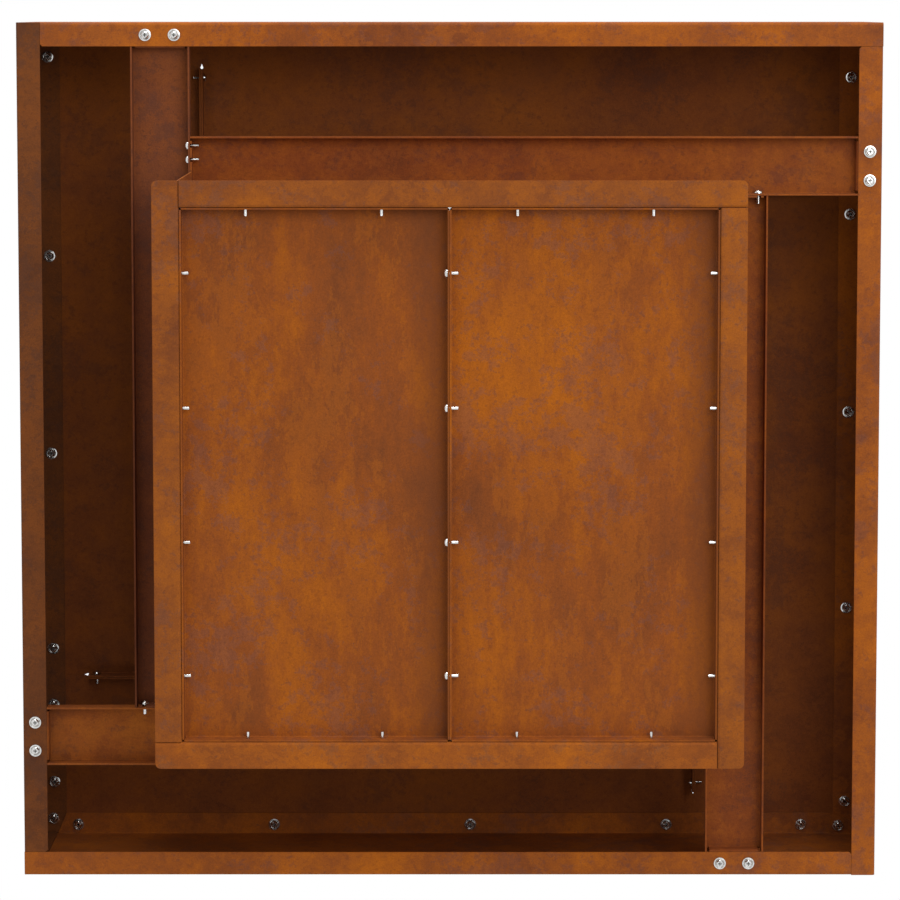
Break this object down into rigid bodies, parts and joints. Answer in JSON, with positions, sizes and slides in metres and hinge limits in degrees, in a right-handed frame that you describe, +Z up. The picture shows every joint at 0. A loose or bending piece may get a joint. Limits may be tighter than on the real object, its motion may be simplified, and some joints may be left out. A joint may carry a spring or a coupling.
{
  "type": "fire table",
  "caption": "Square fire basket of folded weathering steel: an open fire box on foot flanges, carrying a wide shallow table casing on bolted channel beams.",
  "frame": {"origin": "middle of the footprint, on the ground that the foot flanges stand on", "axes": "+Z up, -Y towards the front side, +X to the right of it; the other three sides are the front side turned by quarter turns about Z"},
  "size_m": [1, 1, 0.4],
  "materials": {
    "skirt_steel": "bare weathering steel with an even matt rust skin",
    "top_steel": "bare weathering steel with an even matt rust skin, darker underneath",
    "beam_steel": "bare weathering steel with a matt rust skin",
    "firebox_steel": "bare weathering steel with a matt rust skin",
    "floor_steel": "bare weathering steel with a mottled orange rust skin",
    "zinc_screw": "bright zinc-plated steel"
  },
  "bodies": {
    "root": {"front_skirt": "skirt_steel", "front_top_plate": "top_steel", "front_beam": "beam_steel", "front_firebox_wall": "firebox_steel", "front_beam_end_screw_1": "zinc_screw", "front_beam_end_screw_2": "zinc_screw", "front_beam_joint_screw_1": "zinc_screw", "front_beam_joint_screw_2": "zinc_screw", "front_floor_screw_1": "zinc_screw", "front_floor_screw_2": "zinc_screw", "front_floor_screw_3": "zinc_screw", "front_floor_screw_4": "zinc_screw", "right_skirt": "skirt_steel", "right_top_plate": "top_steel", "right_beam": "beam_steel", "right_firebox_wall": "firebox_steel", "right_beam_end_screw_1": "zinc_screw", "right_beam_end_screw_2": "zinc_screw", "right_beam_joint_screw_1": "zinc_screw", "right_beam_joint_screw_2": "zinc_screw", "right_floor_screw_1": "zinc_screw", "right_floor_screw_2": "zinc_screw", "right_floor_screw_3": "zinc_screw", "right_floor_screw_4": "zinc_screw", "back_skirt": "skirt_steel", "back_top_plate": "top_steel", "back_beam": "beam_steel", "back_firebox_wall": "firebox_steel", "back_beam_end_screw_1": "zinc_screw", "back_beam_end_screw_2": "zinc_screw", "back_beam_joint_screw_1": "zinc_screw", "back_beam_joint_screw_2": "zinc_screw", "back_floor_screw_1": "zinc_screw", "back_floor_screw_2": "zinc_screw", "back_floor_screw_3": "zinc_screw", "back_floor_screw_4": "zinc_screw", "left_skirt": "skirt_steel", "left_top_plate": "top_steel", "left_beam": "beam_steel", "left_firebox_wall": "firebox_steel", "left_beam_end_screw_1": "zinc_screw", "left_beam_end_screw_2": "zinc_screw", "left_beam_joint_screw_1": "zinc_screw", "left_beam_joint_screw_2": "zinc_screw", "left_floor_screw_1": "zinc_screw", "left_floor_screw_2": "zinc_screw", "left_floor_screw_3": "zinc_screw", "left_floor_screw_4": "zinc_screw", "left_floor_plate": "floor_steel", "right_floor_plate": "floor_steel", "floor_seam_screw_1": "zinc_screw", "floor_seam_screw_2": "zinc_screw", "floor_seam_screw_3": "zinc_screw", "floor_seam_screw_4": "zinc_screw"}
  },
  "joints": []
}
